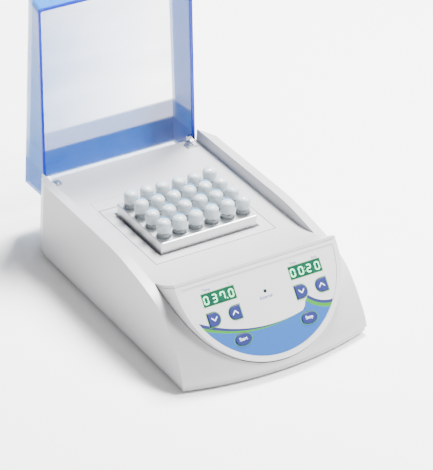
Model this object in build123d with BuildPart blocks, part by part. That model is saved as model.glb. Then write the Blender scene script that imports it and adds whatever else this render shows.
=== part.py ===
"""Dry block heater: a bench-top heater for one 24-place tube block, with a hinged clear lid.

Millimetres, +Z up, +X to the operator's right, -Y towards the operator. The origin is the
middle of the footprint of the whole object, lid open, on the plane that the feet stand on.
"""
import os
from math import cos, radians, sin

from build123d import *

# ---------------------------------------------------------------- driving sizes
# sample block and its tubes
block_width = 95.3
block_depth = 75.7
block_height = 50.0
block_top = 73.0
tube_columns = 6
tube_rows = 4
tube_pitch_x = 15.8
tube_pitch_y = 18.3
tube_bore_radius = 5.7
tube_bore_depth = 38.0
bore_mouth = 0.9

# casing
front_reach = 161.4            # block centre to the tip of the bowed front
rear_wall_reach = 118.0        # block centre to the back wall
lid_reach = 152.15             # block centre to the back of the open lid
half_width_top = 88.0
half_width_base = 91.0
rail_top = 74.0
deck_top = 62.5
rail_inner = 79.5
wall = 2.5
foot_height = 3.0
cover_bottom = 7.0
front_bow_radius = 304.0
corner_cut_start = 23.0
rear_half_width = 77.8

# control console
panel_tilt = 52.6
panel_reach = 113.2            # block centre to the centre of the round panel, along Y
panel_height = 76.8
console_radius = 78.5
overlay_radius = 74.0
console_rise = 3.5             # panel above the centre of its circle
console_gap = 0.8
nose_gap = 0.3
face_thickness = 3.0
overlay_thickness = 0.6
overlay_recess = 1.0
display_width = 30.5
display_height = 10.3
display_offset = 42.2
display_drop = 13.5
key_drop = 30.2
key_inner = 32.4
key_outer = 52.4
key_size = 11.0
oval_drop = 53.0
oval_offset = 32.3
oval_width = 15.2
oval_height = 9.8
key_clearance = 0.3
key_proud = 0.7
key_travel = 0.6
lamp_drop = 20.7
lamp_radius = 1.5

# well, lid and back
frame_half_width = 59.4
frame_front = 49.6
frame_back = 63.4
filler_split = 48.5
plate_gap = 0.5
block_surround = 1.8
well_wall = 4.0
well_clearance = 0.6
well_floor = 6.0
well_top = 56.0
lid_wall = 2.5
lid_front = 114.5              # block centre to the lid's free edges
lid_half_low = 78.1
lid_half_high = 76.1
lid_depth_low = 36.5
lid_depth_high = 29.7
lid_flare_low = 0.4
lid_flare_high = 6.4
lid_length = 163.0             # hinge to the front wall
lid_tail = 20.5                # hinge to the rear wall
lid_lean = 2.8
lid_gap = 0.3
hinge_height = 65.3
hinge_reach = 117.0
hinge_pin_radius = 1.0
hinge_clearance = 0.06
heel_radius = 2.75
panel_sheet = 2.0

# ---------------------------------------------------------------- derived places
block_y = (front_reach - lid_reach) / 2
block_base = block_top - block_height
rear_y = block_y + rear_wall_reach
bow_axis_y = block_y - front_reach + front_bow_radius
slope_c, slope_s = cos(radians(panel_tilt)), sin(radians(panel_tilt))
face = Plane(
    origin=(0, block_y - panel_reach, panel_height),
    x_dir=(1, 0, 0),
    z_dir=(0, -slope_s, slope_c),
)
nose_start = block_y - frame_front - 1.0
deck_under = deck_top - wall
floor_top = foot_height + wall
underside = foot_height - 8.0
side_flare = (half_width_base - half_width_top) / (rail_top - foot_height)
MIDDLE = (Align.CENTER, Align.CENTER, Align.MIN)

pieces = []


def finish(builder, name):
    """Label one finished piece and queue it for writing."""
    builder.part.label = name
    pieces.append((name, builder.part))


def on_face(up, out=0.0):
    """A point of the YZ plane: up the panel's slope, and out along its normal."""
    y = block_y - panel_reach + up * slope_c - out * slope_s
    z = panel_height + up * slope_s + out * slope_c
    return (y, z)


def deck_edge(drop):
    """The deck in side view, from the back to the panel, lowered by drop."""
    tip = on_face(console_rise + wall - drop)
    Line((rear_y + 30, deck_top - drop), (nose_start, deck_top - drop))
    Spline((nose_start, deck_top - drop), tip, tangents=[(-1, 0), (-cos(radians(30)), sin(radians(30)))])
    return tip


def casing_form(inset, bottom):
    """The casing's outside, drawn in by inset, as one solid block."""
    with BuildPart() as form:
        for level in (underside, rail_top - inset):
            flare = side_flare * (rail_top - level)
            side = half_width_top + flare - inset
            back = rear_half_width + flare - inset
            with BuildSketch(Plane.XY.offset(level)):
                with BuildLine():
                    Polyline(
                        (-side, block_y - front_reach - 10),
                        (-side, rear_y - corner_cut_start - inset),
                        (-back, rear_y - inset),
                        (back, rear_y - inset),
                        (side, rear_y - corner_cut_start - inset),
                        (side, block_y - front_reach - 10),
                        close=True,
                    )
                make_face()
        loft(ruled=True)
        # the front is bowed in plan and rounded over in side view, so it is turned about one axis
        reach = front_bow_radius - inset
        with BuildSketch(Plane.XZ.offset(-bow_axis_y)):
            with BuildLine():
                Polyline((0, underside), (reach - 0.5, underside), (reach - 0.5, foot_height))
                Spline(
                    (reach - 0.5, foot_height),
                    (reach - 10.5, 27 - inset),
                    (reach - 33.5, 53 - inset),
                    (reach - 89, 70.3 - inset),
                    (reach - 135, rail_top - inset),
                    tangents=[(-0.08, 1), (-1, 0)],
                )
                Polyline((reach - 135, rail_top - inset), (0, rail_top - inset), (0, underside))
            make_face()
        revolve(axis=Axis((0, bow_axis_y, 0), (0, 0, 1)), mode=Mode.INTERSECT)
        # the trough between the two side rails, down to the deck
        with BuildSketch(Plane.YZ):
            with BuildLine():
                tip = deck_edge(inset)
                Polyline(tip, (tip[0], rail_top + 40), (rear_y + 30, rail_top + 40),
                         (rear_y + 30, deck_top - inset))
            make_face()
        extrude(amount=rail_inner + inset, both=True, mode=Mode.SUBTRACT)
        # the deck's nose, which climbs to the top edge of the control panel
        with BuildSketch(Plane.YZ):
            with BuildLine():
                tip = on_face(console_rise + wall - inset)
                foot = on_face(-8)
                Spline((nose_start, deck_top - inset), tip,
                       tangents=[(-1, 0), (-cos(radians(30)), sin(radians(30)))])
                Polyline(tip, foot, (nose_start, deck_top - 20), (nose_start, deck_top - inset))
            make_face()
        extrude(amount=console_radius - inset, both=True)
        split(bisect_by=Plane.XY.offset(bottom), keep=Keep.TOP)
    return form.part


def console_form(grow, depth, ahead=0.0):
    """The drum behind the panel: a half round with straight sides above, under the deck's nose."""
    radius = console_radius + grow
    drop = wall + nose_gap * (grow == 0)
    with BuildPart() as form:
        with BuildSketch(face.offset(ahead)):
            Circle(radius)
            with Locations((0, 30)):
                Rectangle(2 * radius, 60)
        extrude(amount=-depth - ahead)
        with BuildSketch(Plane.YZ):
            with BuildLine():
                tip = deck_edge(drop)
                Polyline(tip, on_face(console_rise + wall - drop, ahead + 0.01), on_face(-150, ahead + 0.01),
                         (rear_y + 30, -50), (rear_y + 30, deck_top - drop))
            make_face()
        extrude(amount=2 * console_radius, both=True, mode=Mode.INTERSECT)
    return form.part


def tube_places():
    return GridLocations(tube_pitch_x, tube_pitch_y, tube_columns, tube_rows)


# ---------------------------------------------------------------- top cover
console_skirt = 8.0
inner_void = casing_form(wall, underside)
console_depth = 50.0
console_hole = console_form(console_gap, console_depth + 2, 10)
rear_opening_width = 96.0
rear_opening_low = 12.0
rear_opening_high = 52.0
ledge = 3.0
boss_radius = 4.0
hinge_screw_x = 68.0
cover_bosses = [(-78, block_y + 42), (78, block_y + 42), (-84, block_y - 94), (84, block_y - 94)]

with BuildPart() as boss_columns:
    with BuildSketch(Plane.XY.offset(floor_top + 0.2)):
        with Locations(*cover_bosses):
            Circle(boss_radius)
            Circle(1.6, mode=Mode.SUBTRACT)
    extrude(amount=rail_top)
    add(casing_form(wall - 0.5, underside), mode=Mode.INTERSECT)

with BuildPart() as top_cover:
    add(casing_form(0, cover_bottom))
    add(inner_void, mode=Mode.SUBTRACT)
    add(console_hole, mode=Mode.SUBTRACT)
    # ledge that carries the two well plates
    with Locations((0, block_y + (frame_back - frame_front) / 2, deck_under)):
        Box(2 * (frame_half_width + ledge), frame_front + frame_back + 2 * ledge, ledge,
            align=(Align.CENTER, Align.CENTER, Align.MAX))
        Box(2 * (frame_half_width - ledge), frame_front + frame_back - 2 * ledge, 4 * ledge,
            mode=Mode.SUBTRACT)
        Box(2 * frame_half_width + plate_gap, frame_front + frame_back + plate_gap, 2 * wall,
            align=MIDDLE, mode=Mode.SUBTRACT)
    # window in the back wall for the connection panel
    with Locations((0, rear_y, (rear_opening_low + rear_opening_high) / 2)):
        Box(rear_opening_width, 4 * wall, rear_opening_high - rear_opening_low, mode=Mode.SUBTRACT)
    # screw holes for the connection panel and the two lid hinges
    for x in (-rear_opening_width / 2 - 4, rear_opening_width / 2 + 4):
        with Locations(Plane((x, rear_y, (rear_opening_low + rear_opening_high) / 2), z_dir=(0, 1, 0))):
            Cylinder(1.35, 4 * wall, mode=Mode.SUBTRACT)
    hinge_screw_y = block_y + hinge_reach - 9
    with Locations((-hinge_screw_x, hinge_screw_y, deck_top), (hinge_screw_x, hinge_screw_y, deck_top)):
        Cylinder(1.1, 4 * wall, mode=Mode.SUBTRACT)
    add(boss_columns.part)
finish(top_cover, "top_cover")

# ---------------------------------------------------------------- base tray and feet
tray_inset = 1.5
tray_clearance = 0.4
tray_rim = 8.8
skirt_low = 9.3
foot_radius = 8.0
foot_places = [(-70, rear_y - 32), (70, rear_y - 32), (-64, block_y - 118), (64, block_y - 118)]
board_x, board_y = -32.0, block_y + 82.0
board_width, board_depth, board_level = 88.0, 44.0, floor_top + 5.5
board_posts = [(board_x + sx * (board_width / 2 - 5), board_y + sy * (board_depth / 2 - 5))
               for sx in (-1, 1) for sy in (-1, 1)]
ear_x, ear_y = 56.0, 36.0
ear_posts = [(sx * ear_x, block_y + sy * ear_y) for sx in (-1, 1) for sy in (-1, 1)]
well_base = block_base - well_floor

with BuildPart() as base_tray:
    add(casing_form(tray_inset, foot_height))
    split(bisect_by=Plane.XY.offset(cover_bottom), keep=Keep.BOTTOM)
    with BuildPart(mode=Mode.PRIVATE) as rim:
        add(casing_form(wall + tray_clearance, foot_height + 1))
        split(bisect_by=Plane.XY.offset(tray_rim), keep=Keep.BOTTOM)
    add(rim.part)
    with BuildPart(mode=Mode.PRIVATE) as hollow:
        add(casing_form(2 * wall + tray_clearance, floor_top))
    add(hollow.part, mode=Mode.SUBTRACT)
    # the rim steps back around the cover's screw columns
    with Locations(*[(x, y, floor_top) for x, y in cover_bosses]):
        Cylinder(boss_radius + tray_clearance, 20, align=MIDDLE, mode=Mode.SUBTRACT)
    with BuildSketch(Plane.XY.offset(floor_top - 0.5)):
        with Locations(*board_posts):
            Circle(3)
    extrude(amount=board_level - floor_top + 0.5)
    with Locations(*[(x, y, floor_top) for x, y in board_posts]):
        Cylinder(1.5, board_level, align=MIDDLE, mode=Mode.SUBTRACT)
    # screw holes and countersinks for the cover, from below
    with Locations(*[(x, y, foot_height) for x, y in cover_bosses]):
        Cylinder(2.2, 20, mode=Mode.SUBTRACT)
        Cylinder(4.2, 3.0, mode=Mode.SUBTRACT)
    with Locations(*[(x, y, foot_height) for x, y in foot_places]):
        Cylinder(2.1, 20, mode=Mode.SUBTRACT)
    # cooling slots under the power board
    with Locations((board_x, board_y, foot_height)):
        with GridLocations(9, 1, 7, 1):
            Box(3, 30, 20, mode=Mode.SUBTRACT)
finish(base_tray, "base_tray")

for number, (x, y) in enumerate(foot_places, start=1):
    with BuildPart() as foot:
        with Locations((x, y, 0)):
            Cylinder(foot_radius, foot_height, align=MIDDLE)
            with Locations((0, 0, foot_height)):
                Cylinder(2.0, wall + 1.0, align=MIDDLE)
                with Locations((0, 0, wall)):
                    Cylinder(2.9, 1.2, align=MIDDLE)
        chamfer(foot.faces().sort_by(Axis.Z)[0].edges(), 0.8)
    finish(foot, f"rubber_foot_{number}")

with BuildPart() as base_screws:
    for x, y in cover_bosses:
        with Locations((x, y, foot_height)):
            Cylinder(1.55, 18, align=MIDDLE)
            Cylinder(3.9, 1.4, align=MIDDLE)
finish(base_screws, "base_screws")

# ---------------------------------------------------------------- control console
window_clearance = 0.25
console_bosses = [(-66, -10), (66, -10), (-46, -52), (46, -52)]
key_places = {
    "key_temperature_down": (-key_outer, -key_drop, "down"),
    "key_temperature_up": (-key_inner, -key_drop, "up"),
    "key_time_down": (key_inner, -key_drop, "down"),
    "key_time_up": (key_outer, -key_drop, "up"),
    "key_start": (-oval_offset, -oval_drop, "oval"),
    "key_stop": (oval_offset, -oval_drop, "oval"),
}


def key_outline(style, grow):
    """A key seen from the front: a round side and a square side, or an oval."""
    if style == "oval":
        Ellipse(oval_width / 2 + grow, oval_height / 2 + grow)
        return
    side = -1 if style == "down" else 1
    half = key_size / 2 + grow
    Circle(half)
    with Locations((side * half / 2, 0)):
        Rectangle(half, 2 * half)


def face_at(out):
    """The panel's plane, moved out along its normal."""
    return face.offset(out)


with BuildPart() as console_core:
    with BuildSketch(face_at(-face_thickness)):
        Circle(console_radius - wall)
        with Locations((0, 30)):
            Rectangle(2 * (console_radius - wall), 60)
    extrude(amount=-console_depth)
    with BuildSketch(Plane.YZ):
        with BuildLine():
            tip = deck_edge(2 * wall + nose_gap)
            Polyline(tip, on_face(-150), (rear_y + 30, -50),
                     (rear_y + 30, deck_top - 2 * wall - nose_gap))
        make_face()
    extrude(amount=2 * console_radius, both=True, mode=Mode.INTERSECT)

with BuildPart() as overlay_blank:
    with BuildSketch(face_at(-overlay_recess)):
        Circle(overlay_radius)
        with Locations((0, overlay_radius)):
            Rectangle(2 * overlay_radius, 2 * overlay_radius, mode=Mode.SUBTRACT)
    extrude(amount=overlay_recess + 1)

# everything that shows through the panel: six keys, two displays and a lamp
with BuildPart() as panel_openings:
    with BuildSketch(face_at(1)):
        for x, y, style in key_places.values():
            with Locations((x, y)):
                key_outline(style, key_clearance)
        with Locations((-display_offset, -display_drop), (display_offset, -display_drop)):
            Rectangle(display_width + 2 * window_clearance, display_height + 2 * window_clearance)
        with Locations((0, -lamp_drop)):
            Circle(lamp_radius + 0.1)
    extrude(amount=-face_thickness - 2)

skin_depth = casing_form(console_skirt, underside)
with BuildPart() as control_console:
    add(console_form(0, console_depth))
    add(console_core.part, mode=Mode.SUBTRACT)
    add(skin_depth, mode=Mode.SUBTRACT)
    add(overlay_blank.part, mode=Mode.SUBTRACT)
    add(panel_openings.part, mode=Mode.SUBTRACT)
    with BuildSketch(face_at(-face_thickness + 0.2)):
        with Locations(*console_bosses):
            Circle(3.4)
            Circle(1.3, mode=Mode.SUBTRACT)
    extrude(amount=-7.2)
    split(bisect_by=Plane.XY.offset(skirt_low), keep=Keep.TOP)
finish(control_console, "control_console")

with BuildPart() as membrane_overlay:
    with BuildSketch(face_at(-overlay_recess)):
        Circle(overlay_radius - 0.2)
        with Locations((0, overlay_radius - 0.2)):
            Rectangle(2 * overlay_radius, 2 * overlay_radius, mode=Mode.SUBTRACT)
    extrude(amount=overlay_thickness)
    add(panel_openings.part, mode=Mode.SUBTRACT)
finish(membrane_overlay, "membrane_overlay")

# ---------------------------------------------------------------- keys, displays and boards
key_flange = 1.0
key_flange_thickness = 1.0
switch_height = 3.6
board_face = face_thickness + 8.0
board_thickness = 1.6

for name, (x, y, style) in key_places.items():
    with BuildPart() as key:
        # the cap stands through the panel; its wider flange sits behind and keeps it in
        with BuildSketch(face_at(-face_thickness - 0.1)):
            with Locations((x, y)):
                key_outline(style, 0)
        extrude(amount=face_thickness + 0.1 - overlay_recess + overlay_thickness + key_proud)
        fillet(key.faces().sort_by(Axis(face.origin, face.z_dir))[-1].edges(), 0.35)
        with BuildSketch(face_at(-face_thickness - 0.1)):
            with Locations((x, y)):
                key_outline(style, key_flange)
        extrude(amount=-key_flange_thickness)
    finish(key, name)

for name, x in (("temperature", -display_offset), ("time", display_offset)):
    with BuildPart() as window:
        with BuildSketch(face_at(-face_thickness)):
            with Locations((x, -display_drop)):
                Rectangle(display_width, display_height)
        extrude(amount=face_thickness - overlay_recess + overlay_thickness)
    finish(window, f"{name}_window")
    with BuildPart() as display:
        with BuildSketch(face_at(-face_thickness - 0.4)):
            with Locations((x, -display_drop)):
                Rectangle(display_width + 1.5, display_height + 1.6)
        extrude(amount=-(board_face - face_thickness - 0.4))
    finish(display, f"{name}_display")

with BuildPart() as status_lamp:
    with BuildSketch(face_at(-board_face)):
        with Locations((0, -lamp_drop)):
            Circle(lamp_radius)
    extrude(amount=board_face - overlay_recess + overlay_thickness)
    fillet(status_lamp.faces().sort_by(Axis(face.origin, face.z_dir))[-1].edges(), 0.6)
finish(status_lamp, "status_lamp")

with BuildPart() as key_switches:
    with BuildSketch(face_at(-board_face)):
        for x, y, style in key_places.values():
            with Locations((x, y)):
                Rectangle(6, 6)
    extrude(amount=switch_height)
    with BuildSketch(face_at(-board_face + switch_height)):
        for x, y, style in key_places.values():
            with Locations((x, y)):
                Circle(1.7)
    extrude(amount=board_face - face_thickness - 0.1 - key_flange_thickness - switch_height - key_travel - 0.1)
finish(key_switches, "key_switches")

with BuildPart() as control_board:
    with BuildSketch(face_at(-board_face)):
        Circle(console_radius - wall - 3)
        with Locations((0, -33)):
            Rectangle(2 * console_radius, 58, mode=Mode.INTERSECT)
        with Locations(*console_bosses):
            Circle(1.7, mode=Mode.SUBTRACT)
    extrude(amount=-board_thickness)
    with BuildSketch(face_at(-board_face - board_thickness)):
        with Locations((0, -24)):
            Rectangle(14, 14)
        with Locations((30, -34), (-30, -36)):
            Rectangle(10, 8)
    extrude(amount=-2.4)
finish(control_board, "control_board")

with BuildPart() as board_screws:
    with BuildSketch(face_at(-board_face - board_thickness)):
        with Locations(*console_bosses):
            Circle(2.8)
    extrude(amount=-1.8)
    with BuildSketch(face_at(-board_face - board_thickness)):
        with Locations(*console_bosses):
            Circle(1.25)
    extrude(amount=7)
finish(board_screws, "board_screws")

# ---------------------------------------------------------------- well plates
surround_x = block_width / 2 + block_surround
surround_y = block_depth / 2 + block_surround

with BuildPart() as well_frame:
    with Locations((0, block_y + (filler_split - frame_front) / 2, deck_under)):
        Box(2 * frame_half_width, filler_split + frame_front, wall, align=MIDDLE)
    with Locations((0, block_y, deck_under)):
        Box(2 * surround_x, 2 * surround_y, 3 * wall, mode=Mode.SUBTRACT)
finish(well_frame, "well_frame")

with BuildPart() as rear_filler:
    depth = frame_back - filler_split - plate_gap
    with Locations((0, block_y + frame_back - depth / 2, deck_under)):
        Box(2 * frame_half_width, depth, wall, align=MIDDLE)
finish(rear_filler, "rear_filler")

# ---------------------------------------------------------------- sample block and tubes
with BuildPart() as sample_block:
    with Locations((0, block_y, block_base)):
        Box(block_width, block_depth, block_height, align=MIDDLE)
    fillet(sample_block.edges().filter_by(Axis.Z), 1.2)
    chamfer(sample_block.faces().sort_by(Axis.Z)[-1].edges(), 0.5)
    with Locations((0, block_y, block_top)):
        with tube_places():
            Cylinder(tube_bore_radius, tube_bore_depth, align=(Align.CENTER, Align.CENTER, Align.MAX),
                     mode=Mode.SUBTRACT)
            Cone(tube_bore_radius, tube_bore_radius + bore_mouth, bore_mouth,
                 align=(Align.CENTER, Align.CENTER, Align.MAX), mode=Mode.SUBTRACT)
finish(sample_block, "sample_block")

tube_clearance = 0.35
tube_radius = tube_bore_radius - tube_clearance
tube_tip = 18.0
collar_radius = 6.0
cap_radius = 6.2
cap_base = block_top + 4.6
cap_height = 10.6
tube_wall = 1.0

with BuildPart() as sample_tubes:
    tube_low = block_top - tube_bore_depth + 0.3
    with BuildSketch(Plane.XZ.offset(-block_y)):
        with BuildLine():
            Polyline((0, tube_low), (1.8, tube_low), (tube_radius, tube_low + tube_tip),
                     (tube_radius, block_top + 0.3), (collar_radius, block_top + 1.3),
                     (collar_radius, block_top + 2.6), (tube_radius, block_top + 2.6),
                     (tube_radius, cap_base + 4), (tube_radius - tube_wall, cap_base + 4),
                     (tube_radius - tube_wall, tube_low + tube_tip), (0.9, tube_low + 1.2),
                     (0, tube_low + 1.2), close=True)
        make_face()
    revolve(axis=Axis((0, block_y, 0), (0, 0, 1)))
    one_tube = sample_tubes.part
with BuildPart() as tube_rack:
    with Locations((0, 0, 0)):
        with tube_places():
            add(one_tube)
finish(tube_rack, "sample_tubes")

with BuildPart() as one_cap:
    with Locations((0, block_y, cap_base)):
        Cylinder(cap_radius, cap_height, align=MIDDLE)
    fillet(one_cap.faces().sort_by(Axis.Z)[-1].edges(), 2.4)
    with Locations((0, block_y, cap_base)):
        Cylinder(tube_radius + 0.15, 4.3, align=MIDDLE, mode=Mode.SUBTRACT)
with BuildPart() as tube_caps:
    with tube_places():
        add(one_cap.part)
finish(tube_caps, "tube_caps")

# ---------------------------------------------------------------- heating well
cavity_x = block_width + 2 * well_clearance
cavity_y = block_depth + 2 * well_clearance
well_x = cavity_x + 2 * well_wall
well_y = cavity_y + 2 * well_wall
ear_thickness = 4.0
pad_thickness = 1.2
wrap_thickness = 6.0
cutout_x, cutout_width, cutout_tall = 32.0, 17.0, 7.5
sensor_radius = 1.5
sensor_level = well_base + well_floor / 2

with BuildPart() as heating_well:
    with Locations((0, block_y, well_base)):
        Box(well_x, well_y, well_top - well_base, align=MIDDLE)
        with Locations((0, 0, 0)):
            Box(2 * ear_x + 8, 2 * ear_y + 8, ear_thickness, align=MIDDLE)
    with Locations((0, block_y, block_base)):
        Box(cavity_x, cavity_y, block_height, align=MIDDLE, mode=Mode.SUBTRACT)
    with Locations(*[(x, y, well_base) for x, y in ear_posts]):
        Cylinder(2.1, 3 * ear_thickness, mode=Mode.SUBTRACT)
    with Locations(Plane((0, block_y + well_y / 2, sensor_level), x_dir=(1, 0, 0), z_dir=(0, 1, 0))):
        Cylinder(sensor_radius + 0.1, 2 * 32, mode=Mode.SUBTRACT)
finish(heating_well, "heating_well")

with BuildPart() as heater_pad:
    with Locations((0, block_y, well_base)):
        Box(block_width - 4, block_depth - 4, pad_thickness, align=(Align.CENTER, Align.CENTER, Align.MAX))
    with Locations((0, block_y + block_depth / 2 - 2, well_base - pad_thickness)):
        Box(14, 8, pad_thickness, align=(Align.CENTER, Align.CENTER, Align.MIN))
finish(heater_pad, "heater_pad")

with BuildPart() as insulation_slab:
    slab_top = well_base - pad_thickness
    with Locations((0, block_y, floor_top)):
        Box(well_x - 2, well_y - 6, slab_top - floor_top, align=MIDDLE)
        with Locations(*[(x, y - block_y) for x, y in ear_posts]):
            Cylinder(6, 60, mode=Mode.SUBTRACT)
finish(insulation_slab, "insulation_slab")

with BuildPart() as insulation_wrap:
    with Locations((0, block_y, well_base + ear_thickness + 0.6)):
        wrap_height = well_top - well_base - ear_thickness - 0.6
        Box(well_x + 2 * wrap_thickness, well_y + 2 * wrap_thickness, wrap_height, align=MIDDLE)
        Box(well_x + 0.4, well_y + 0.4, wrap_height, align=MIDDLE, mode=Mode.SUBTRACT)
        with Locations(*[(x, y - block_y) for x, y in ear_posts]):
            Cylinder(5, 12, mode=Mode.SUBTRACT)
        # notch for the thermal cut-out
        with Locations((cutout_x, -well_y / 2, 0)):
            Box(cutout_width + 2, 30, cutout_tall, mode=Mode.SUBTRACT, align=MIDDLE)
finish(insulation_wrap, "insulation_wrap")

with BuildPart() as well_standoffs:
    with Locations(*[(x, y, floor_top) for x, y in ear_posts]):
        Cylinder(4, well_base - floor_top, align=MIDDLE)
        Cylinder(1.6, well_base - floor_top, align=MIDDLE, mode=Mode.SUBTRACT)
finish(well_standoffs, "well_standoffs")

with BuildPart() as well_screws:
    with Locations(*[(x, y, well_base + ear_thickness) for x, y in ear_posts]):
        Cylinder(3.4, 2.2, align=MIDDLE)
        Cylinder(1.55, 12, align=(Align.CENTER, Align.CENTER, Align.MAX))
finish(well_screws, "well_screws")

with BuildPart() as temperature_sensor:
    with Locations(Plane((0, block_y + well_y / 2 + 14, sensor_level), x_dir=(1, 0, 0), z_dir=(0, -1, 0))):
        Cylinder(sensor_radius, 44, align=MIDDLE)
        Cylinder(2.6, 6, align=MIDDLE)
finish(temperature_sensor, "temperature_sensor")

with BuildPart() as thermal_cutout:
    with Locations((cutout_x, block_y - well_y / 2, well_base)):
        Box(cutout_width, 5, cutout_tall, align=(Align.CENTER, Align.MAX, Align.MIN))
    fillet(thermal_cutout.edges().filter_by(Axis.Z), 1.5)
finish(thermal_cutout, "thermal_cutout")

# ---------------------------------------------------------------- power electronics
board_top = board_level + board_thickness
with BuildPart() as power_board:
    with Locations((board_x, board_y, board_level)):
        Box(board_width, board_depth, board_thickness, align=MIDDLE)
    with Locations(*[(x, y, board_level) for x, y in board_posts]):
        Cylinder(1.7, 10, mode=Mode.SUBTRACT)
    with Locations((board_x + 33, board_y, board_top)):
        Box(8, 22, 10, align=MIDDLE)
finish(power_board, "power_board")

with BuildPart() as transformer:
    with Locations((board_x - 22, board_y, board_top)):
        Box(32, 27, 22, align=MIDDLE)
        with Locations((0, 0, 3)):
            Box(26, 34, 16, align=MIDDLE)
    chamfer(transformer.faces().sort_by(Axis.Z)[-1].edges(), 1.0)
finish(transformer, "transformer")

with BuildPart() as power_relay:
    with Locations((board_x + 2, board_y - 8, board_top)):
        Box(12, 20, 15, align=MIDDLE)
    fillet(power_relay.edges().filter_by(Axis.Z), 0.8)
finish(power_relay, "power_relay")

with BuildPart() as heat_sink:
    with Locations((board_x + 18, board_y, board_top)):
        Box(14, 30, 3, align=MIDDLE)
        with Locations((0, 0, 3)):
            with GridLocations(0, 6.6, 1, 5):
                Box(14, 1.8, 18, align=MIDDLE)
finish(heat_sink, "heat_sink")

with BuildPart() as power_board_screws:
    with Locations(*[(x, y, board_top) for x, y in board_posts]):
        Cylinder(2.8, 1.8, align=MIDDLE)
        Cylinder(1.45, board_top - floor_top, align=(Align.CENTER, Align.CENTER, Align.MAX))
finish(power_board_screws, "power_board_screws")

# ---------------------------------------------------------------- back panel and its fittings
inlet_x, inlet_z = 30.0, 31.0
switch_x, switch_z = -3.0, 31.0
inlet_width, inlet_tall, inlet_depth = 27.0, 31.0, 24.0
inlet_flange_width, inlet_flange_tall = 31.0, 35.0
socket_width, socket_tall, socket_depth = 24.0, 16.6, 16.0
socket_rise = 5.5
drawer_width, drawer_tall, drawer_depth = 21.0, 7.6, 19.0
drawer_drop = 10.0
drawer_clearance = 0.3
fuse_radius = 2.5
switch_width, switch_tall, switch_depth = 13.0, 19.4, 16.0
switch_flange_width, switch_flange_tall = 15.0, 21.4
flange_thickness = 1.6
panel_margin_x, panel_margin_z = 8.0, 3.0
back_face = rear_y - wall - 0.2
rocker_y = back_face - 2.2
trunnion_radius = 0.9


def on_back(x, z, out=0.0):
    """A place on the connection panel's outer face: local X to the left seen from behind, Z outward."""
    return Plane((x, back_face + out, z), x_dir=(1, 0, 0), z_dir=(0, 1, 0))


mid_z = (rear_opening_low + rear_opening_high) / 2
panel_wide = rear_opening_width + 2 * panel_margin_x
panel_tall = rear_opening_high - rear_opening_low + 2 * panel_margin_z
back_screws = [(sx * (panel_wide / 2 - 4), mid_z) for sx in (-1, 1)]

with BuildPart() as rear_panel:
    with BuildSketch(on_back(0, mid_z)):
        Rectangle(panel_wide, panel_tall)
        with Locations(*[(x, 0) for x, z in back_screws]):
            Circle(1.3, mode=Mode.SUBTRACT)
    extrude(amount=-panel_sheet)
    with BuildSketch(on_back(inlet_x, inlet_z)):
        Rectangle(inlet_width + 0.4, inlet_tall + 0.4)
    extrude(amount=-panel_sheet, mode=Mode.SUBTRACT)
    with BuildSketch(on_back(switch_x, switch_z)):
        Rectangle(switch_width + 0.4, switch_tall + 0.4)
    extrude(amount=-panel_sheet, mode=Mode.SUBTRACT)
    # cooling slots
    with BuildSketch(on_back(-30, mid_z)):
        with GridLocations(0, 5.0, 1, 6):
            SlotOverall(24, 2.4)
    extrude(amount=-panel_sheet, mode=Mode.SUBTRACT)
finish(rear_panel, "rear_panel")

with BuildPart() as rear_panel_screws:
    for x, z in back_screws:
        with BuildSketch(Plane((x, rear_y, z), x_dir=(1, 0, 0), z_dir=(0, 1, 0))):
            Circle(2.8)
        extrude(amount=1.6)
        with BuildSketch(Plane((x, rear_y, z), x_dir=(1, 0, 0), z_dir=(0, 1, 0))):
            Circle(1.25)
        extrude(amount=-wall - panel_sheet - 2)
finish(rear_panel_screws, "rear_panel_screws")

with BuildPart() as power_inlet:
    with BuildSketch(on_back(inlet_x, inlet_z)):
        RectangleRounded(inlet_flange_width, inlet_flange_tall, 1.5)
    extrude(amount=flange_thickness)
    with BuildSketch(on_back(inlet_x, inlet_z)):
        Rectangle(inlet_width, inlet_tall)
    extrude(amount=-inlet_depth)
    # socket, with its two lower corners cut off
    with BuildSketch(on_back(inlet_x, inlet_z + socket_rise, flange_thickness)):
        Rectangle(socket_width, socket_tall)
        chamfer(vertices().group_by(Axis.Z)[0], 4.0)
    extrude(amount=-socket_depth, mode=Mode.SUBTRACT)
    with BuildSketch(on_back(inlet_x, inlet_z - drawer_drop, flange_thickness)):
        Rectangle(drawer_width + 2 * drawer_clearance, drawer_tall + 2 * drawer_clearance)
    extrude(amount=-drawer_depth - 0.6, mode=Mode.SUBTRACT)
finish(power_inlet, "power_inlet")

with BuildPart() as inlet_pins:
    for x, z in ((-7, 3.5), (7, 3.5), (0, 7.5)):
        with BuildSketch(on_back(inlet_x + x, inlet_z + z, flange_thickness - socket_depth)):
            Rectangle(2, 4)
        extrude(amount=12)
finish(inlet_pins, "inlet_pins")

with BuildPart() as fuse_drawer:
    with BuildSketch(on_back(inlet_x, inlet_z - drawer_drop, flange_thickness)):
        Rectangle(drawer_width, drawer_tall)
    extrude(amount=-drawer_depth)
    with BuildSketch(on_back(inlet_x, inlet_z - drawer_drop, flange_thickness + drawer_clearance)):
        Rectangle(drawer_width + 1.6, drawer_tall + 1.6)
    extrude(amount=1.0)
    with BuildSketch(on_back(inlet_x, inlet_z - drawer_drop, flange_thickness)):
        Rectangle(drawer_width, drawer_tall)
    extrude(amount=drawer_clearance + 0.5)
    # cradle for the fuse, open upwards
    with Locations((inlet_x, back_face - 9, inlet_z - drawer_drop)):
        Box(drawer_width - 0.6, 6.2, drawer_tall, align=(Align.CENTER, Align.CENTER, Align.CENTER),
            mode=Mode.SUBTRACT)
        with Locations((0, 0, -drawer_tall / 2)):
            Box(drawer_width, 6.4, 1.0, align=MIDDLE)
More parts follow.
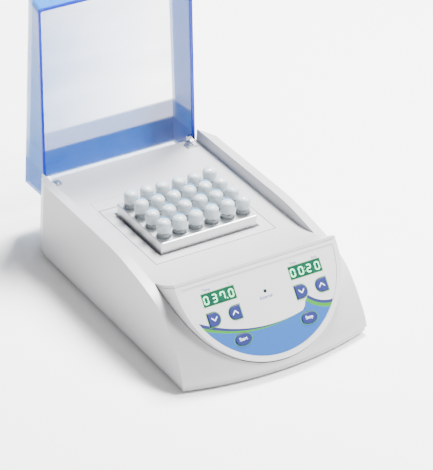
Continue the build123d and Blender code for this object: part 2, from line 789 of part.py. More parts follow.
finish(fuse_drawer, "fuse_drawer")

with BuildPart() as fuse:
    with Locations(Plane((inlet_x, back_face - 9, inlet_z - drawer_drop - drawer_tall / 2 + 1 + fuse_radius),
                         z_dir=(1, 0, 0))):
        Cylinder(fuse_radius, 20)
finish(fuse, "fuse")

with BuildPart() as rocker_housing:
    with BuildSketch(on_back(switch_x, switch_z)):
        RectangleRounded(switch_flange_width, switch_flange_tall, 1.0)
    extrude(amount=flange_thickness)
    with BuildSketch(on_back(switch_x, switch_z)):
        Rectangle(switch_width, switch_tall)
    extrude(amount=-switch_depth)
    with BuildSketch(on_back(switch_x, switch_z, flange_thickness)):
        Rectangle(switch_width - 2.4, switch_tall - 2.6)
    extrude(amount=-8.5, mode=Mode.SUBTRACT)
    with Locations(Plane((switch_x, rocker_y, switch_z), x_dir=(0, 1, 0), z_dir=(1, 0, 0))):
        Cylinder(trunnion_radius + hinge_clearance, 2 * switch_width, mode=Mode.SUBTRACT)
finish(rocker_housing, "rocker_housing")

# the rocker turns about X through this point, and rests with its upper half pressed in
rocker_tilt = 10.0
with BuildPart() as rocker_switch:
    with BuildSketch(Plane.YZ.offset(switch_x)):
        with BuildLine():
            Polyline((-3.2, -5.0), (-3.2, 5.0), (2.2, 7.6), (3.9, 7.6), (2.7, 0), (3.9, -7.6),
                     (2.2, -7.6), close=True)
        make_face()
    extrude(amount=(switch_width - 3.2) / 2, both=True)
    with Locations(Plane((switch_x, 0, 0), x_dir=(0, 1, 0), z_dir=(1, 0, 0))):
        Cylinder(trunnion_radius, switch_width - 0.8)
rocker_body = rocker_switch.part.rotate(Axis((switch_x, 0, 0), (1, 0, 0)), rocker_tilt)
with BuildPart() as rocker_placed:
    add(rocker_body.moved(Location((0, rocker_y, switch_z))))
finish(rocker_placed, "rocker_switch")

# ---------------------------------------------------------------- hinged lid, shown open
hinge_y = block_y + hinge_reach
lid_front_y = block_y + lid_front
lid_low = hinge_height - lid_tail
lid_high = hinge_height + lid_length


def lid_outline(low, high, inset):
    """A four-sided outline, narrower at the top, drawn in by inset."""
    Polygon((-low[0] + inset, low[1] + inset), (low[0] - inset, low[1] + inset),
            (high[0] - inset, high[1] - inset), (-high[0] + inset, high[1] - inset), align=None)


def lid_block(inset, ahead):
    """The lid's outside in its upright place, drawn in by inset on every side but the open one."""
    run = Vector(0, lid_depth_high - lid_depth_low, lid_high - lid_low)
    across = Vector(1, 0, 0).cross(run).normalized()
    corner = Vector(0, lid_front_y + lid_depth_low, lid_low) + across * inset
    with BuildPart() as block:
        with BuildSketch(Plane((0, lid_front_y - ahead, lid_low), x_dir=(1, 0, 0), z_dir=(0, -1, 0))):
            lid_outline((lid_half_low, 0), (lid_half_high, lid_high - lid_low), inset)
        with BuildSketch(Plane(corner, x_dir=(1, 0, 0), z_dir=across)):
            lid_outline((lid_half_low - lid_flare_low, 0), (lid_half_high - lid_flare_high, run.length), inset)
        loft(ruled=True)
        fillet(block.edges().filter_by(lambda edge: abs((edge @ 1 - edge @ 0).Y) > 15), 4.0 - inset)
    return block.part


with BuildPart() as lid_shell:
    with BuildPart(mode=Mode.PRIVATE) as upright:
        add(lid_block(0, 0))
        add(lid_block(lid_wall, 0.01), mode=Mode.SUBTRACT)
    add(upright.part.rotate(Axis((0, hinge_y, hinge_height), (1, 0, 0)), -lid_lean))
    # the side walls stop short of the deck and of the casing's back wall
    with Locations((0, rear_y + 0.6, deck_top + lid_gap)):
        Box(4 * lid_half_low, 60, 60, align=(Align.CENTER, Align.MAX, Align.MAX), mode=Mode.SUBTRACT)
    # rounded heels, so that the walls clear the deck while the lid turns
    with BuildPart(mode=Mode.PRIVATE) as heel:
        with Locations((0, hinge_y, hinge_height)):
            Box(4 * lid_half_low, 6, 6, align=(Align.CENTER, Align.MAX, Align.MAX))
        with Locations(Plane((0, hinge_y, hinge_height), x_dir=(0, 1, 0), z_dir=(1, 0, 0))):
            Cylinder(heel_radius, 5 * lid_half_low, mode=Mode.SUBTRACT)
    add(heel.part, mode=Mode.SUBTRACT)
    with Locations(Plane((0, hinge_y, hinge_height), x_dir=(0, 1, 0), z_dir=(1, 0, 0))):
        Cylinder(hinge_pin_radius + hinge_clearance, 4 * lid_half_low, mode=Mode.SUBTRACT)
finish(lid_shell, "lid_shell")

knuckle_inner, knuckle_outer = 71.0, 74.6
for side, turn in (("left", -1), ("right", 1)):
    near = Align.MAX if turn > 0 else Align.MIN
    with BuildPart() as bracket:
        with Locations((turn * knuckle_outer, hinge_y - 5, deck_top)):
            Box(10, 8, 1.6, align=(near, Align.MAX, Align.MIN))
        with BuildSketch(Plane.YZ.offset(turn * knuckle_inner)):
            with BuildLine():
                Polyline((hinge_y - 13, deck_top), (hinge_y + 0.8, deck_top), (hinge_y + 2.2, hinge_height),
                         (hinge_y + 1.2, hinge_height + 1.9), (hinge_y - 1.2, hinge_height + 2.2),
                         (hinge_y - 6, deck_top + 2.4), (hinge_y - 13, deck_top + 1.6), close=True)
            make_face()
        extrude(amount=turn * (knuckle_outer - knuckle_inner))
        with Locations((turn * hinge_screw_x, hinge_y - 9, deck_top)):
            Cylinder(1.1, 10, mode=Mode.SUBTRACT)
        with Locations(Plane((turn * knuckle_outer, hinge_y, hinge_height), x_dir=(0, 1, 0), z_dir=(turn, 0, 0))):
            Cylinder(hinge_pin_radius, 20, mode=Mode.SUBTRACT)
    finish(bracket, f"hinge_bracket_{side}")
    with BuildPart() as pin:
        with Locations(Plane((turn * knuckle_inner, hinge_y, hinge_height), x_dir=(0, 1, 0),
                             z_dir=(turn, 0, 0))):
            Cylinder(hinge_pin_radius, lid_half_low + 0.3 - knuckle_inner, align=MIDDLE)
        chamfer(pin.edges(), 0.2)
    finish(pin, f"hinge_pin_{side}")

with BuildPart() as hinge_screws:
    with Locations((-hinge_screw_x, hinge_y - 9, deck_top + 1.6), (hinge_screw_x, hinge_y - 9, deck_top + 1.6)):
        Cylinder(1.9, 1.1, align=MIDDLE)
        Cylinder(1.05, 1.6 + wall + 2, align=(Align.CENTER, Align.CENTER, Align.MAX))
finish(hinge_screws, "hinge_screws")

os.makedirs("parts", exist_ok=True)
for name, part in pieces:
    export_step(part, f"parts/{name}.step")
    print(f"{name}: {len(part.solids())} solids, {part.volume:.0f} mm3")
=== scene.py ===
# %% [markdown]
# # Dry block heater
# A bench-top heater for microtubes: an off-white moulded casing, a half-round control console that slopes
# towards the operator, an aluminium block with capped tubes in it, and a clear blue lid standing open.
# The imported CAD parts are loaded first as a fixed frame, in metres. Blender then gives every part its
# finish, and adds the small things that CAD leaves plain: printed film, digits, prints and real tubes.

# %% Load the fixed frame
import random
from math import cos, pi, radians, sin

import bmesh
import bpy
from mathutils import Euler, Matrix, Vector


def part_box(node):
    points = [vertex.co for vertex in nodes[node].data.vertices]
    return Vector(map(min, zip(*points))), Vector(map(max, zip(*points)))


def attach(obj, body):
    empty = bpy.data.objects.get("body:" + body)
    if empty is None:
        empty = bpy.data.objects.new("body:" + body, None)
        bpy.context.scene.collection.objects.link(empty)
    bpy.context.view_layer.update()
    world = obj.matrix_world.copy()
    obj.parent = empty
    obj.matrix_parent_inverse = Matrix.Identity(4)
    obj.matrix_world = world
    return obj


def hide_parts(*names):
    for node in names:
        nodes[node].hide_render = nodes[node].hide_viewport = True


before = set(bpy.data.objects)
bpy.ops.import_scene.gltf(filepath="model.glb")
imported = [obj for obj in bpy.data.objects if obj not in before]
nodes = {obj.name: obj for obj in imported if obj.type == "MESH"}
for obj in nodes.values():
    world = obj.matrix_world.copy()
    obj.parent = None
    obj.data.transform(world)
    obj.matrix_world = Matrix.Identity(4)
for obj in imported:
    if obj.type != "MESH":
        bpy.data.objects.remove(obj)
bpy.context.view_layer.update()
MM = 0.001

# %% [markdown]
# ## Camera
# The viewer stands to the left of the operator's place and looks down at the panel, from about two metres
# away through a long lens, so lines that run back hardly draw together. A camera looks along its own -Z,
# so its turn is written as a tilt from straight down, then a small roll, then a turn about the upright.

# %% Camera
camera_data = bpy.data.cameras.new("catalogue_camera")
CAMERA_TURN, CAMERA_DOWN, CAMERA_ROLL = radians(-32.381), radians(31.712), radians(1.427)
CAMERA_PLACE = (-0.9619, -1.5608, 1.1828)
camera_data.lens = 207.9
camera_data.sensor_fit = "HORIZONTAL"
camera_data.sensor_width = 36.0
camera_data.clip_start = 0.1
camera = bpy.data.objects.new("catalogue_camera", camera_data)
bpy.context.scene.collection.objects.link(camera)
turn = Matrix.Rotation(CAMERA_TURN, 4, "Z")
tilt = Matrix.Rotation(radians(90) - CAMERA_DOWN, 4, "X")
roll = Matrix.Rotation(CAMERA_ROLL, 4, "Z")
camera.matrix_world = Matrix.Translation(CAMERA_PLACE) @ turn @ tilt @ roll
bpy.context.scene.camera = camera
print("camera", [round(v, 3) for v in camera.matrix_world.translation])

# %% [markdown]
# ## Floor and light
# The heater stands on a white sweep in soft light. The main lamp hangs behind and to the right: it leaves
# the left side and the inner face of the right rail in shade, and throws a short soft shadow forwards and
# to the left. A weaker lamp in front on the right lights the console, and a white world fills the shadows.

# %% Floor, lamps and world
def lamp(name, place, look_at, size, power):
    """A square soft lamp, turned to face a point."""
    data = bpy.data.lights.new(name, "AREA")
    data.shape = "SQUARE"
    data.size = size
    data.energy = power
    made = bpy.data.objects.new(name, data)
    bpy.context.scene.collection.objects.link(made)
    facing = (Vector(look_at) - Vector(place)).to_track_quat("-Z", "Y").to_matrix().to_4x4()
    made.matrix_world = Matrix.Translation(place) @ facing
    return made


middle = (0, 0, 0.06)
lamp("back_right_lamp", (0.5, 0.45, 1.45), middle, 0.4, 112)
lamp("front_right_lamp", (0.8, -0.6, 1.3), middle, 0.45, 66)

world = bpy.data.worlds.new("studio")
world.use_nodes = True
world.node_tree.nodes["Background"].inputs["Color"].default_value = (1, 1, 1, 1)
world.node_tree.nodes["Background"].inputs["Strength"].default_value = 0.55
bpy.context.scene.world = world

sweep_mesh = bmesh.new()
bmesh.ops.create_grid(sweep_mesh, x_segments=1, y_segments=1, size=6.0)
sweep_data = bpy.data.meshes.new("studio_floor")
sweep_mesh.to_mesh(sweep_data)
sweep = bpy.data.objects.new("studio_floor", sweep_data)
bpy.context.scene.collection.objects.link(sweep)
print("2 lamps, one floor")

# %% [markdown]
# ## A small language for finishes
# A finish is a tree of shader nodes. Writing it as plain sums keeps it readable, so a socket is wrapped in
# a class that knows +, -, * and /, and every other node comes from one method.

# %% Shader sums
class Value:
    """A shader socket that can be used in a sum."""

    def __init__(self, finish, socket):
        self.finish = finish
        self.socket = socket

    def sum(self, operation, *others, first=None):
        terms = [self if first is None else first, *others]
        if first is not None:
            terms.append(self)
        return self.finish.node("ShaderNodeMath", {"operation": operation}, dict(enumerate(terms)))

    def __add__(self, other):
        return self.sum("ADD", other)

    __radd__ = __add__

    def __mul__(self, other):
        return self.sum("MULTIPLY", other)

    __rmul__ = __mul__

    def __sub__(self, other):
        return self.sum("SUBTRACT", other)

    def __rsub__(self, other):
        return self.sum("SUBTRACT", first=other)

    def __truediv__(self, other):
        return self.sum("DIVIDE", other)

    def least(self, other):
        return self.sum("MINIMUM", other)

    def most(self, other):
        return self.sum("MAXIMUM", other)

    def root(self):
        return self.sum("SQRT")

    def size(self):
        return self.sum("ABSOLUTE")

    def below(self, limit, soft):
        """1 where the value is under the limit, 0 above it, with a soft edge this wide."""
        return self.finish.node("ShaderNodeMapRange", {"clamp": True},
                                {"Value": self, "From Min": limit + soft / 2, "From Max": limit - soft / 2})


class Finish:
    """One material, built node by node from values."""

    def __init__(self, name):
        self.material = bpy.data.materials.new(name)
        self.material.use_nodes = True
        self.tree = self.material.node_tree
        self.tree.nodes.clear()

    def node(self, kind, settings=None, values=None, output=0):
        made = self.tree.nodes.new(kind)
        for key, value in (settings or {}).items():
            setattr(made, key, value)
        for key, value in (values or {}).items():
            if isinstance(value, Value):
                self.tree.links.new(value.socket, made.inputs[key])
            else:
                made.inputs[key].default_value = value
        return Value(self, made.outputs[output])

    def place(self):
        """Where on the object, in millimetres: x, y and z as three values."""
        point = self.node("ShaderNodeTexCoord", output=3)
        split = self.node("ShaderNodeSeparateXYZ", values={0: point})
        axes = [split] + [Value(self, split.socket.node.outputs[i]) for i in (1, 2)]
        return [axis * 1000 for axis in axes]

    def noise(self, scale, detail=2.0, rough=0.5, stretch=(1, 1, 1)):
        """A soft random pattern from 0 to 1. The scale is in cells to the metre."""
        point = self.node("ShaderNodeTexCoord", output=3)
        turned = self.node("ShaderNodeMapping", values={"Vector": point, "Scale": stretch})
        return self.node("ShaderNodeTexNoise", values={"Vector": turned, "Scale": scale, "Detail": detail,
                                                       "Roughness": rough})

    def mix(self, factor, under, over):
        """One colour over another."""
        return self.node("ShaderNodeMix", {"data_type": "RGBA"}, {0: factor, 6: under, 7: over}, output=2)

    def bump(self, height, strength, distance):
        """Small hills on the surface, of this height in metres."""
        return self.node("ShaderNodeBump", values={"Height": height, "Strength": strength, "Distance": distance})

    def done(self, **sockets):
        """Ends the tree in one plain surface and gives the material."""
        values = {key.replace("_", " "): value for key, value in sockets.items()}
        shader = self.node("ShaderNodeBsdfPrincipled", values=values)
        end = self.tree.nodes.new("ShaderNodeOutputMaterial")
        self.tree.links.new(shader.socket, end.inputs["Surface"])
        return self.material


def rgb(red, green, blue):
    return (red, green, blue, 1.0)


def wear(*names, finish):
    """Put a finish on CAD nodes."""
    for name in names:
        for holder in nodes[name].material_slots:
            holder.material = finish


print("shader sums ready")

# %% [markdown]
# ## Moulded plastics
# The casing is an off-white moulding with a fine satin skin. A real moulding is never one flat colour: it
# has faint cloudy patches, a skin like very fine orange peel, and slightly glossier places. The plate
# round the block also has a thin dark line of painted shade along its edge, where it meets the deck:
# the shadow in the gap round it is painted into its colour.

# %% Moulded plastics
def moulded(name, colour, roughness, patch=0.02, grain=0.00002, shade_gap_box=None):
    """A plastic. Given the two corners of a part's box, it paints a thin dark line of shade along the part's
    edge, where the gap round the part is in shadow.
    """
    finish = Finish(name)
    cloud = finish.noise(14, 3)
    shade = [channel * (1 - patch) for channel in colour]
    light = [min(1, channel * (1 + patch)) for channel in colour]
    base = finish.mix(cloud, rgb(*shade), rgb(*light))
    if shade_gap_box:
        low, high = (corner / MM for corner in shade_gap_box)
        centre, half = (low + high) / 2, (high - low) / 2
        x, y, z = finish.place()
        # painted shade: a dark line along the part's edge stands for the shadow in the gap round it
        from_shade_gap = ((x - centre.x).size() - half.x).most((y - centre.y).size() - half.y)
        base = finish.mix(1 - from_shade_gap.below(-0.55, 0.3), base, rgb(0.09, 0.09, 0.095))
    skin = finish.noise(900, 2, 0.6)
    rough = roughness + (finish.noise(45, 3) - 0.5) * 0.08
    return finish.done(Base_Color=base, Roughness=rough, Normal=finish.bump(skin, 0.25, grain),
                       Specular_IOR_Level=0.45)


casing_white = moulded("casing_white", (0.44, 0.44, 0.452), 0.34)
console_grey = moulded("console_grey", (0.54, 0.54, 0.55), 0.30)
plate_white = moulded("plate_white", (0.46, 0.46, 0.472), 0.36, shade_gap_box=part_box("well_frame"))
panel_paint = moulded("panel_paint", (0.62, 0.62, 0.63), 0.45)
socket_black = moulded("socket_black", (0.022, 0.022, 0.024), 0.42, patch=0.1)
foot_rubber = moulded("foot_rubber", (0.02, 0.02, 0.02), 0.75, patch=0.2, grain=0.0001)
key_blue = moulded("key_blue", (0.002, 0.008, 0.11), 0.42, patch=0.05, grain=0.00001)
relay_blue = moulded("relay_blue", (0.03, 0.09, 0.4), 0.4)
silicone = moulded("silicone_orange", (0.5, 0.1, 0.03), 0.6)
fibre = moulded("insulation_fibre", (0.72, 0.68, 0.58), 0.95, patch=0.12, grain=0.0006)
wear("top_cover", "base_tray", "rear_filler", finish=casing_white)
wear("control_console", finish=console_grey)
wear("well_frame", finish=plate_white)
wear("rear_panel", finish=panel_paint)
wear("power_inlet", "rocker_housing", "rocker_switch", "fuse_drawer", "transformer", "thermal_cutout",
     "key_switches", finish=socket_black)
wear(*[f"rubber_foot_{corner}" for corner in (1, 2, 3, 4)], finish=foot_rubber)
wear(*[name for name in nodes if name.startswith("key_") and name != "key_switches"], finish=key_blue)
wear("power_relay", finish=relay_blue)
wear("heater_pad", finish=silicone)
wear("insulation_slab", "insulation_wrap", finish=fibre)
paper = Finish("white_sweep")
sweep.data.materials.append(paper.done(Base_Color=rgb(0.98, 0.98, 0.98), Roughness=0.9, Specular_IOR_Level=0.1))
print("10 plastics and the sweep")

# %% [markdown]
# ## Metals and boards
# The block is milled aluminium: fine tool lines run across it, and they soften its reflections. Screws and
# pins are plain steel. The boards are green laminate with a faint weave.

# %% Metals and boards
def milled(name, colour, roughness, stretch):
    """A metal with fine tool lines, which run along the direction that is stretched least."""
    finish = Finish(name)
    tool = finish.noise(260, 3, 0.6, stretch)
    smear = finish.noise(30, 3)
    base = finish.mix(smear, rgb(*[c * 0.94 for c in colour]), rgb(*colour))
    rough = roughness + (tool - 0.5) * 0.16
    return finish.done(Base_Color=base, Metallic=1.0, Roughness=rough,
                       Normal=finish.bump(tool, 0.3, 0.00002))


block_aluminium = milled("block_aluminium", (0.72, 0.725, 0.73), 0.34, (0.2, 5, 5))
well_aluminium = milled("well_aluminium", (0.8, 0.81, 0.82), 0.45, (1, 1, 6))
plain_steel = milled("plain_steel", (0.62, 0.62, 0.63), 0.3, (2, 2, 2))
pin_brass = milled("pin_brass", (0.8, 0.68, 0.42), 0.25, (2, 2, 2))

laminate = Finish("board_laminate")
weave = laminate.noise(600, 1, 0.4, (1, 4, 1))
green_weave = laminate.mix(weave, rgb(0.01, 0.14, 0.04), rgb(0.02, 0.2, 0.07))
board_green = laminate.done(Base_Color=green_weave, Roughness=0.4)
wear("sample_block", finish=block_aluminium)
wear("heating_well", "heat_sink", finish=well_aluminium)
wear("base_screws", "board_screws", "well_screws", "power_board_screws", "rear_panel_screws", "hinge_screws",
     "hinge_pin_left", "hinge_pin_right", "hinge_bracket_left", "hinge_bracket_right", "well_standoffs",
     "temperature_sensor", finish=plain_steel)
wear("inlet_pins", finish=pin_brass)
wear("control_board", "power_board", finish=board_green)
print("4 metals, one laminate")

# %% [markdown]
# ## The panel's own directions
# The control panel slopes. Two directions describe it: x runs across it, and w runs down its slope from
# the middle of its circle. Prints, digits and legends are all laid out in x and w, in millimetres.

# %% Panel directions
PANEL_CENTRE = Vector((0, -108.575, 76.8))
PANEL_TILT = 52.6
UP = Vector((0, cos(radians(PANEL_TILT)), sin(radians(PANEL_TILT))))
OUT = Vector((0, -sin(radians(PANEL_TILT)), cos(radians(PANEL_TILT))))


def panel_matrix(x, w, out):
    """Places a flat drawing, made in millimetres about the origin, on the panel."""
    spot = PANEL_CENTRE - UP * w + OUT * out + Vector((x, 0, 0))
    turn = Matrix((Vector((1, 0, 0)), UP, OUT)).transposed().to_4x4()
    return Matrix.Scale(MM, 4) @ Matrix.Translation(spot) @ turn


def panel_place(finish):
    """Where on the panel, as x and w."""
    x, y, z = finish.place()
    up = (y - PANEL_CENTRE.y) * UP.y + (z - PANEL_CENTRE.z) * UP.z
    return x, 0 - up


print("panel slopes at", PANEL_TILT, "degrees")

# %% [markdown]
# ## Printed film
# A printed film covers the panel: pale grey, with a blue field in its lower part. A royal blue line over a
# green one follows the field's upper edge and thins out to the right. There the field rises in a short
# curve, and a second, thicker pair of lines closes the right-hand corner. Every edge is part of a circle,
# so a mask is the distance from a centre compared with a radius. Keys and windows have a green outline.

# %% Printed film
SOFT = 0.22
ARROW_KEYS = (("key_temperature_down", -52.4, -1), ("key_temperature_up", -32.4, 1),
              ("key_time_down", 32.4, -1), ("key_time_up", 52.4, 1))
KEY_DROP, KEY_HALF = 30.2, 5.5
OVAL_DROP, OVAL_SIDE, OVAL_HALF_X, OVAL_HALF_W = 53.0, 32.3, 7.6, 4.9
WINDOW_DROP, WINDOW_SIDE, WINDOW_HALF_X, WINDOW_HALF_W = 13.5, 42.2, 15.25, 5.15
film = Finish("printed_film")
x, w = panel_place(film)


def ring(centre_x, centre_w):
    """Distance from a centre, in the panel's own directions."""
    dx = x - centre_x
    dw = w - centre_w
    return (dx * dx + dw * dw).root()


def slab(centre_x, centre_w, half_x, half_w):
    """Distance outside an upright rectangle."""
    return ((x - centre_x).size() - half_x).most((w - centre_w).size() - half_w)


def within(distance, limit):
    """1 inside a printed edge, 0 outside it."""
    return distance.below(limit, SOFT)


# the field: under the main arc, or past the riser, cut off slantwise above and kept out of the corner arc
main_arc = ring(0.9, -86.1) - 134.4
corner = ring(58.1, 16.25)
past_riser = (1 - within(ring(22.5, 36.6), 10.6)) * (1 - within(x, 22.5)) * (1 - within(w, 30.0))
below_arc = 1 - within(main_arc, 0.0)
cut = (1 - within(x + w, 71.9)).most(within(x, 29.0))
coloured = below_arc.most(past_riser) * cut * (1 - within(corner, 27.7)) * within(ring(0, 0), 73.6)

# the lines: both thin out to the right along the main arc, and have one width along the corner arc
royal_width = ((18.0 - x) * 0.033).most(0.0)
green_width = ((31.0 - x) * 0.0258).most(0.0)
left = within(x, 31.0)
royal = left * within(main_arc - royal_width, 0.0)
green = left * within(main_arc - royal_width - green_width, 0.0)
royal_corner = (1 - left) * within(corner, 30.2)
green_corner = (1 - left) * within(corner, 33.3)

# how far outside the nearest key or window
outlines = []
for key, centre, side in ARROW_KEYS:
    round_side = ring(centre, KEY_DROP) - KEY_HALF
    square_side = slab(centre + side * KEY_HALF / 2, KEY_DROP, KEY_HALF / 2, KEY_HALF)
    outlines.append(round_side.least(square_side))
for centre in (-OVAL_SIDE, OVAL_SIDE):
    dx = (x - centre) / OVAL_HALF_X
    dw = (w - OVAL_DROP) / OVAL_HALF_W
    outlines.append(((dx * dx + dw * dw).root() - 1) * 5.8)
for centre in (-WINDOW_SIDE, WINDOW_SIDE):
    outlines.append(slab(centre, WINDOW_DROP, WINDOW_HALF_X, WINDOW_HALF_W) + 0.2)
outline = outlines[0]
for other in outlines[1:]:
    outline = outline.least(other)

OUTLINE = 0.95
PAPER, FIELD = rgb(0.54, 0.54, 0.54), rgb(0.0, 0.075, 0.30)
ROYAL, GREEN = rgb(0.002, 0.006, 0.10), rgb(0.015, 0.20, 0.0)
base = film.mix(coloured, PAPER, FIELD)
base = film.mix(coloured * green.most(green_corner), base, GREEN)
base = film.mix(coloured * royal.most(royal_corner), base, ROYAL)
base = film.mix(outline.below(OUTLINE, 0.3) * 0.9, base, rgb(0.02, 0.20, 0.0))
film_grain = film.bump(film.noise(1500, 2), 0.15, 0.00002)
wear("membrane_overlay", finish=film.done(Base_Color=base, Roughness=0.42, Normal=film_grain))
print(len(outlines), "outlines printed on the film")

# %% [markdown]
# ## Windows, digits and lamp
# The display windows are dark green filter plates. Each shows four seven-segment digits, 037.0 degrees and
# 00:20 hours, as thick pale green bars that glow a little. A digit is a list of the bars that are lit.

# %% Windows, digits and lamp
def face_height(name):
    """How far a CAD node stands out along the panel's normal, in millimetres."""
    return max((vertex.co / MM - PANEL_CENTRE).dot(OUT) for vertex in nodes[name].data.vertices)


def piece(name, mesh, finish, body, smooth=False):
    """A new piece: a mesh already in its place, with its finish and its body."""
    data = bpy.data.meshes.new(name)
    mesh.to_mesh(data)
    mesh.free()
    data.materials.append(finish)
    for polygon in data.polygons:
        polygon.use_smooth = smooth
    made = bpy.data.objects.new(name, data)
    bpy.context.scene.collection.objects.link(made)
    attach(made, body)
    return made


def raised(outline_points, thick, into):
    """Adds a flat plate with this outline to a mesh: millimetres, from the origin's plane upwards."""
    low = [into.verts.new((px, py, 0)) for px, py in outline_points]
    high = [into.verts.new((px, py, thick)) for px, py in outline_points]
    into.faces.new(list(reversed(low)))
    into.faces.new(high)
    count = len(low)
    for i in range(count):
        into.faces.new((low[i], low[(i + 1) % count], high[(i + 1) % count], high[i]))


DIGIT_WIDE, DIGIT_TALL, BAR = 3.7, 6.0, 1.25
DIGIT_PLACES = (-12.2, -4.2, 3.6, 11.7)
POINT_RADIUS = 0.55
BARS = {"a": (0, 1, "across"), "g": (0, 0, "across"), "d": (0, -1, "across"), "f": (-1, 0.5, "up"),
        "b": (1, 0.5, "up"), "e": (-1, -0.5, "up"), "c": (1, -0.5, "up")}
LIT = {"0": "abcdef", "2": "abged", "3": "abgcd", "7": "fabc"}


def bar(side, level, way, at, into):
    """One lit bar of the digit whose middle is at this x: a long six-sided plate."""
    half = BAR / 2
    long = (DIGIT_WIDE if way == "across" else DIGIT_TALL / 2) / 2 + 0.05
    shape = [(-long, 0), (-long + half, half), (long - half, half),
             (long, 0), (long - half, -half), (-long + half, -half)]
    if way == "up":
        shape = [(-py, px) for px, py in shape]
    middle_x, middle_y = at + side * DIGIT_WIDE / 2, level * DIGIT_TALL / 2
    raised([(px + middle_x, py + middle_y) for px, py in shape], 0.06, into)


glass = Finish("filter_green")
green_depth = glass.mix(glass.noise(140, 2), rgb(0.0, 0.035, 0.03), rgb(0.004, 0.10, 0.045))
wear("temperature_window", "time_window",
     finish=glass.done(Base_Color=green_depth, Roughness=0.12, Coat_Weight=0.6))
digit_glow = Finish("digit_glow").done(Base_Color=rgb(0.25, 0.9, 0.45), Roughness=0.4,
                                       Emission_Color=rgb(0.36, 1.0, 0.52), Emission_Strength=0.75)
colon_glow = Finish("colon_glow").done(Base_Color=rgb(0.02, 0.4, 0.12), Roughness=0.4,
                                       Emission_Color=rgb(0.02, 0.5, 0.12), Emission_Strength=0.4)


def readout(name, window, centre, text, point_at, point_levels, point_finish):
    """The lit digits of one display, and its decimal point or colon."""
    on_window = panel_matrix(centre, WINDOW_DROP + 0.2, face_height(window) + 0.02)
    mesh = bmesh.new()
    for letter, at in zip(text, DIGIT_PLACES):
        for lit in LIT[letter]:
            bar(*BARS[lit], at, mesh)
    mesh.transform(on_window)
    piece(name, mesh, digit_glow, "casing")
    mesh = bmesh.new()
    for level in point_levels:
        turns = [step * pi / 6 for step in range(12)]
        raised([(point_at + POINT_RADIUS * cos(turn), level + POINT_RADIUS * sin(turn)) for turn in turns],
               0.06, mesh)
    mesh.transform(on_window)
    piece(name + "_point", mesh, point_finish, "casing")


readout("temperature_digits", "temperature_window", -WINDOW_SIDE, "0370", 7.5, (-3.0,), digit_glow)
readout("time_digits", "time_window", WINDOW_SIDE, "0020", -0.4, (-1.4, 1.4), colon_glow)
wear("status_lamp", finish=Finish("lamp_lens").done(Base_Color=rgb(0.0, 0.02, 0.016), Roughness=0.15))
wear("temperature_display", "time_display",
     finish=Finish("display_body").done(Base_Color=rgb(0.03, 0.035, 0.03), Roughness=0.6))
print("2 readouts")

# %% [markdown]
# ## Legends and arrows
# Short words are printed on the film in royal blue, and on the two oval keys in a pale tint. Each word is
# written once as text, turned into a mesh, made as wide as it should be, and only then laid on the panel.
# The four adjusting keys carry a pale arrow made of two strokes.

# %% Legends and arrows
royal_ink = Finish("royal_ink").done(Base_Color=rgb(0.012, 0.02, 0.30), Roughness=0.5)
pale_ink = Finish("pale_ink").done(Base_Color=rgb(0.72, 0.80, 0.95), Roughness=0.45)


def legend(name, text, x_middle, w_middle, wide, on="membrane_overlay"):
    """A printed word of this width, on the film or on a key."""
    curve = bpy.data.curves.new(name, "FONT")
    curve.body = text
    curve.offset = 0.012
    holder = bpy.data.objects.new(name + "_text", curve)
    flat = bpy.data.meshes.new_from_object(holder)
    mesh = bmesh.new()
    mesh.from_mesh(flat)
    bpy.data.objects.remove(holder)
    xs = [vertex.co.x for vertex in mesh.verts]
    ys = [vertex.co.y for vertex in mesh.verts]
    to_middle = Matrix.Translation((-(max(xs) + min(xs)) / 2, -(max(ys) + min(ys)) / 2, 0))
    mesh.transform(Matrix.Scale(wide / (max(xs) - min(xs)), 4) @ to_middle)
    bmesh.ops.solidify(mesh, geom=mesh.faces[:], thickness=-0.03)
    mesh.transform(panel_matrix(x_middle, w_middle, face_height(on) + 0.02))
    if on == "membrane_overlay":
        piece(name, mesh, royal_ink, "casing")
    else:
        piece(name, mesh, pale_ink, on)


legend("legend_temp", "Temp", -51.8, 5.5, 7.4)
legend("legend_degrees", "°C", -30.6, 5.6, 2.6)
legend("legend_time", "Time", 32.4, 5.7, 6.2)
legend("legend_hours", "h:m", 53.4, 6.0, 5.0)
legend("legend_external", "External", -0.6, 25.4, 12.0)
legend("legend_start", "Start", -32.6, 52.6, 7.6, on="key_start")
legend("legend_stop", "Stop", 32.0, 52.8, 7.0, on="key_stop")

ARROW_HALF = 2.7
ARROW = [(-ARROW_HALF, -2.0), (-ARROW_HALF, -0.75), (0, 2.0), (ARROW_HALF, -0.75), (ARROW_HALF, -2.0), (0, 0.75)]
for key, centre, way in ARROW_KEYS:
    mesh = bmesh.new()
    raised([(px, way * py) for px, py in ARROW][::way], 0.03, mesh)
    mesh.transform(panel_matrix(centre, KEY_DROP - 0.1, face_height(key) + 0.02))
    piece("arrow_" + key[4:], mesh, pale_ink, key)
print("7 legends, 4 arrows")

# %% [markdown]
# ## Tubes and caps
# Twenty-four microtubes stand in the block. CAD keeps them as plain turned bodies; here each one is spun
# from a profile and wears a domed cap of frosted plastic, which leans a little its own way. Behind most
# caps a thin blue crescent is painted: a painted reflection of the blue lid, made as a bent bar.

# %% Tubes and caps
random.seed(24)
COLUMNS, ROWS = 6, 4
PITCH_X, PITCH_Y = 15.8, 18.3
BLOCK_Y, CAP_BASE = 4.625, 77.6
LEAN, LIFT = 0.05, 0.5


